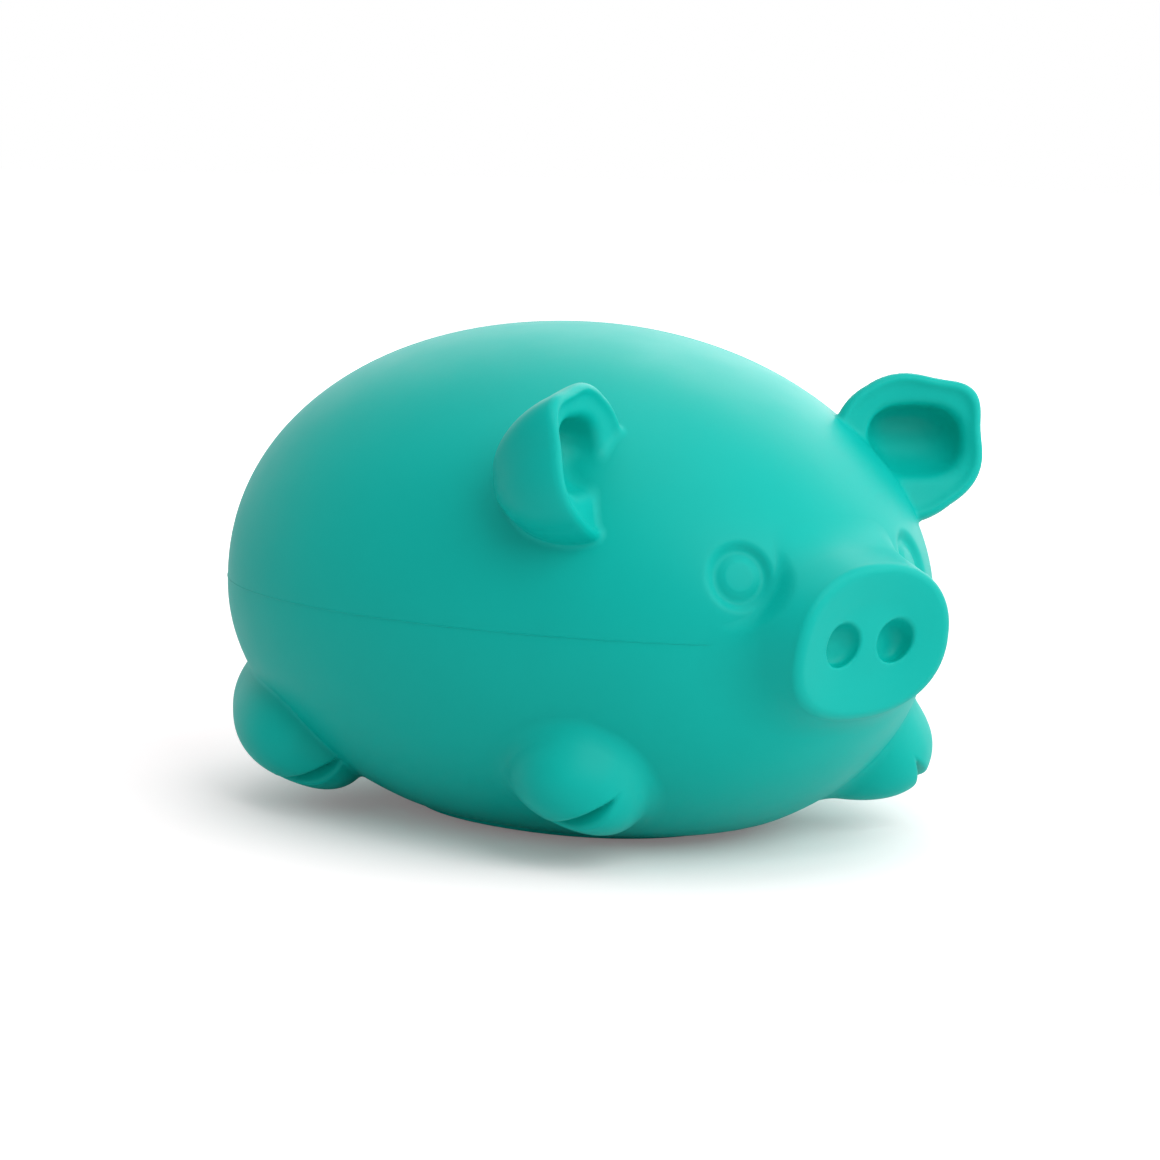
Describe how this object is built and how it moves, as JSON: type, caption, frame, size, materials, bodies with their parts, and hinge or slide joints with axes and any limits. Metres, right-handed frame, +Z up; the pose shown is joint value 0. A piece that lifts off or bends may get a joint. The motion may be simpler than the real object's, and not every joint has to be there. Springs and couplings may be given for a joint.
{
  "type": "pig squishy toy",
  "caption": "Soft rubber pig squeeze toy with cupped ears, a round snout, mitten feet and a curled tail, around a kneadable filling.",
  "frame": {"origin": "on the surface the toy rests on, at the middle of the flattened belly patch", "axes": "+Z up, the pig faces -Y, +X is the left side of the pig"},
  "size_m": [0.0782, 0.0994, 0.0578],
  "materials": {
    "skin_rubber": "turquoise soft rubber, satin, slightly translucent",
    "patch_rubber": "turquoise soft rubber, matt, glued over the fill hole",
    "filling_dough": "cream kneadable dough"
  },
  "bodies": {
    "belly": {"skin_lower": "skin_rubber", "filling": "filling_dough", "fill_plug": "skin_rubber", "belly_patch": "patch_rubber", "snout": "skin_rubber"},
    "crown": {"skin_upper": "skin_rubber"},
    "right_ear": {"ear_right": "skin_rubber"},
    "left_ear": {"ear_left": "skin_rubber"},
    "front_right_foot": {"front_foot_right": "skin_rubber"},
    "front_left_foot": {"front_foot_left": "skin_rubber"},
    "rear_right_foot": {"rear_foot_right": "skin_rubber"},
    "rear_left_foot": {"rear_foot_left": "skin_rubber"},
    "tail_curl": {"tail": "skin_rubber"}
  },
  "joints": [
    {"name": "squeeze", "type": "slide", "parent": "belly", "child": "crown", "axis": [0, 0, -1], "range_m": [0, 0.012], "stiffness_N_per_m": 1200, "deforming": ["skin_upper", "filling"]},
    {"name": "ear_right_fold", "type": "hinge", "parent": "crown", "child": "right_ear", "pos_m": [-0.02133, -0.0267, 0.04302], "axis": [0.4751, 0.3916, 0.788], "range_deg": [-30, 40], "stiffness_Nm_per_rad": 0.004, "deforming": ["ear_right"]},
    {"name": "ear_left_fold", "type": "hinge", "parent": "crown", "child": "left_ear", "pos_m": [0.02133, -0.0267, 0.04302], "axis": [0.4751, -0.3916, -0.788], "range_deg": [-30, 40], "stiffness_Nm_per_rad": 0.004, "deforming": ["ear_left"]},
    {"name": "front_foot_right_flex", "type": "hinge", "parent": "belly", "child": "front_right_foot", "pos_m": [-0.0222, -0.026, 0.00962], "axis": [0.7655, -0.6435, 0], "range_deg": [-12, 12], "stiffness_Nm_per_rad": 0.01, "deforming": ["front_foot_right"]},
    {"name": "front_foot_left_flex", "type": "hinge", "parent": "belly", "child": "front_left_foot", "pos_m": [0.0222, -0.026, 0.00962], "axis": [0.7655, 0.6435, 0], "range_deg": [-12, 12], "stiffness_Nm_per_rad": 0.01, "deforming": ["front_foot_left"]},
    {"name": "rear_foot_right_flex", "type": "hinge", "parent": "belly", "child": "rear_right_foot", "pos_m": [-0.02621, 0.0233, 0.00867], "axis": [0.8438, -0.5366, 0], "range_deg": [-12, 12], "stiffness_Nm_per_rad": 0.01, "deforming": ["rear_foot_right"]},
    {"name": "rear_foot_left_flex", "type": "hinge", "parent": "belly", "child": "rear_left_foot", "pos_m": [0.02621, 0.0233, 0.00867], "axis": [0.8438, 0.5366, 0], "range_deg": [-12, 12], "stiffness_Nm_per_rad": 0.01, "deforming": ["rear_foot_left"]},
    {"name": "tail_flex", "type": "hinge", "parent": "crown", "child": "tail_curl", "pos_m": [0, 0.04505, 0.03335], "axis": [1, 0, 0], "range_deg": [-30, 30], "stiffness_Nm_per_rad": 0.001, "deforming": ["tail"]}
  ]
}
